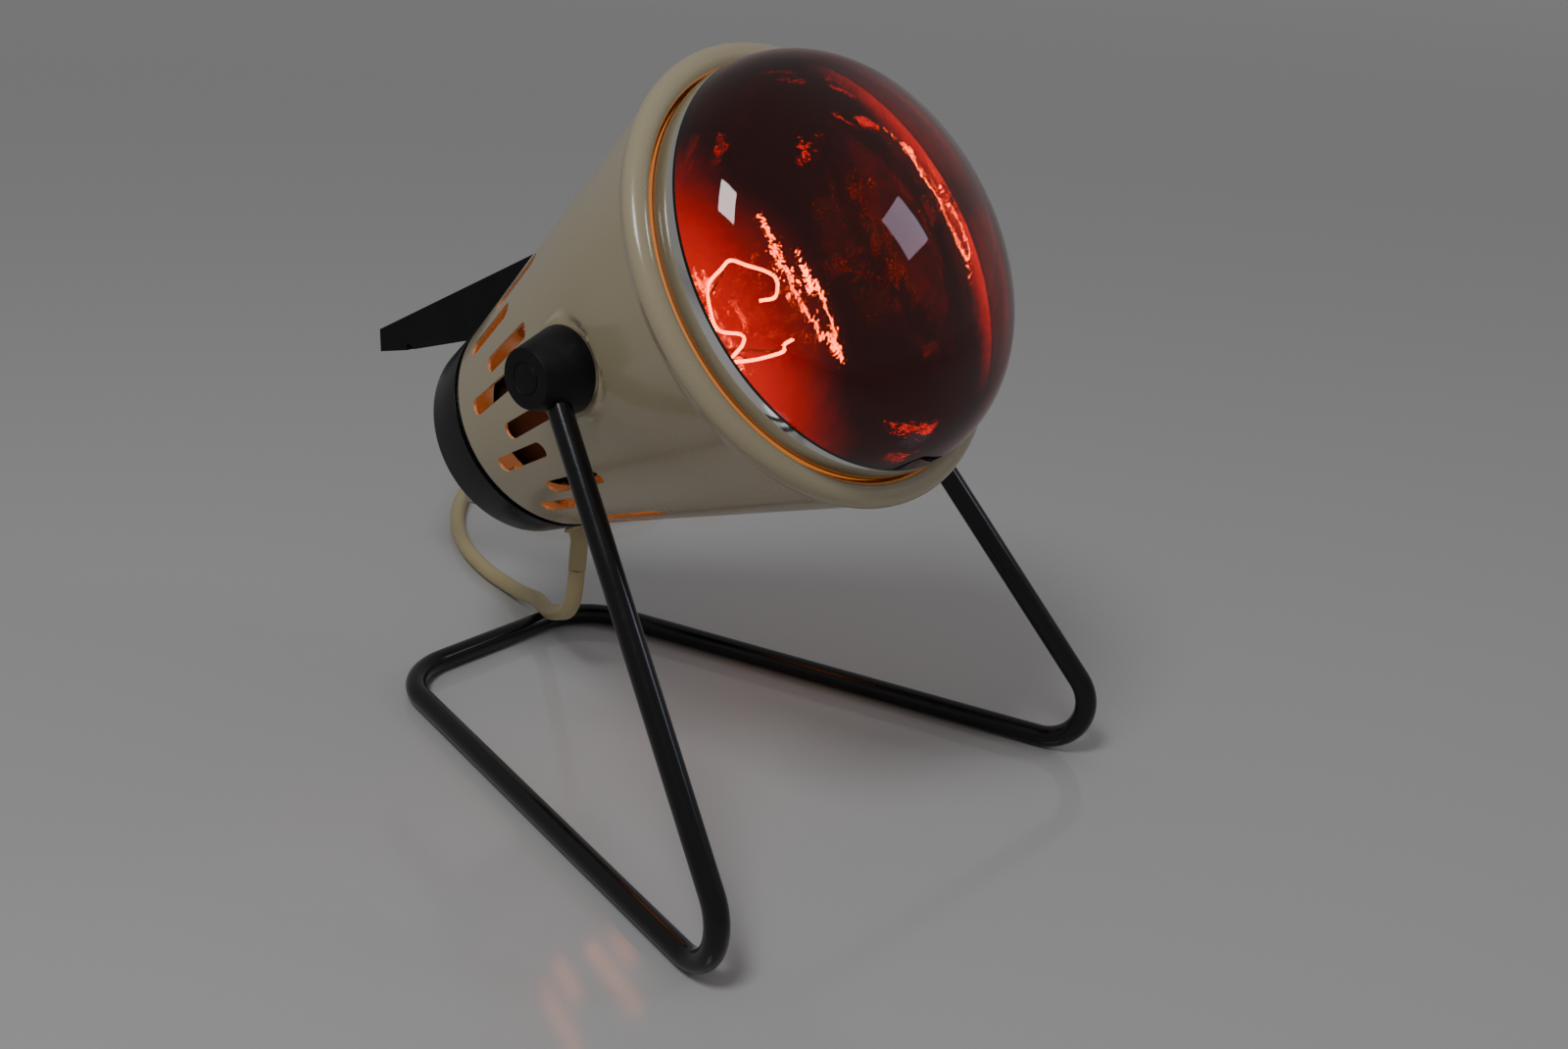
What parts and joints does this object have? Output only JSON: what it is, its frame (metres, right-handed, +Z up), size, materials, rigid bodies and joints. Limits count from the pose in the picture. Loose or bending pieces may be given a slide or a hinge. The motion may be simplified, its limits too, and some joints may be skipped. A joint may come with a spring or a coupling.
{
  "type": "infrared heat lamp",
  "caption": "Tilting infrared heat lamp: a vented conical housing with a red reflector bulb, held by friction knobs between the legs of a bent rod stand, with a corded plug.",
  "frame": {"origin": "on the table straight below the middle of the tilt axis", "axes": "X along the tilt axis, -Y the way the lamp faces, +Z up; the coil and plug lie at +X +Y"},
  "size_m": [0.3307, 0.3361, 0.2294],
  "materials": {
    "cream_paint": "gloss",
    "black_lacquer": "gloss",
    "black_moulding": "satin",
    "ruby_glass": "gloss",
    "silvered_glass": "gloss",
    "clear_glass": "gloss",
    "tungsten": "satin",
    "nickel": "gloss",
    "steel": "satin",
    "brass": "satin",
    "dark_ceramic": "satin",
    "cream_rubber": "satin",
    "brown_insulation": "satin",
    "blue_insulation": "satin",
    "green_insulation": "satin"
  },
  "bodies": {
    "stand": {"stand_rod": "black_lacquer", "pivot_knob_left": "black_moulding", "pivot_knob_right": "black_moulding", "pivot_screw_left": "steel", "pivot_screw_right": "steel", "pivot_washer_left": "nickel", "pivot_washer_right": "nickel", "pivot_spring_washer_left": "steel", "pivot_spring_washer_right": "steel", "cord_lead": "cream_rubber", "cord_coil": "cream_rubber", "cord_tail": "cream_rubber", "plug_body": "cream_rubber", "plug_pins": "nickel", "plug_earth_clips": "nickel"},
    "head": {"housing": "cream_paint", "rear_cap": "black_moulding", "cap_screws": "steel", "handle": "black_moulding", "handle_screws": "steel", "holder_body": "dark_ceramic", "holder_shell": "brass", "holder_centre_contact": "brass", "holder_screws": "steel", "holder_terminals": "brass", "terminal_screws": "steel", "strain_relief": "cream_rubber", "cord_inner_end": "cream_rubber", "cord_clamp": "black_moulding", "clamp_screws": "steel", "live_lead": "brown_insulation", "neutral_lead": "blue_insulation", "earth_tag": "brass", "earth_screw": "steel", "earth_lead": "green_insulation"},
    "bulb_carrier": {"bulb_tip_contact": "brass"},
    "bulb": {"bulb_red_dome": "ruby_glass", "bulb_reflector": "silvered_glass", "bulb_base_shell": "brass", "bulb_base_insulator": "dark_ceramic", "bulb_stem": "clear_glass", "bulb_filament": "tungsten", "bulb_lead_wires": "nickel", "filament_supports": "nickel"}
  },
  "joints": [
    {"name": "head_tilt", "type": "hinge", "parent": "stand", "child": "head", "pos_m": [0, 0, 0.141], "axis": [-1, 0, 0], "range_deg": [-74, 41], "deforming": ["cord_lead"]},
    {"name": "bulb_travel", "type": "slide", "parent": "head", "child": "bulb_carrier", "axis": [0, -0.829, 0.5592], "range_m": [0, 0.0146]},
    {"name": "bulb_turn", "type": "hinge", "parent": "bulb_carrier", "child": "bulb", "pos_m": [0, 0, 0.141], "axis": [0, -0.829, 0.5592], "range_deg": [0, 1440]}
  ],
  "couplings": [
    {"joint": "bulb_travel", "follows": "bulb_turn", "m_per_rad": 0.0005776}
  ]
}
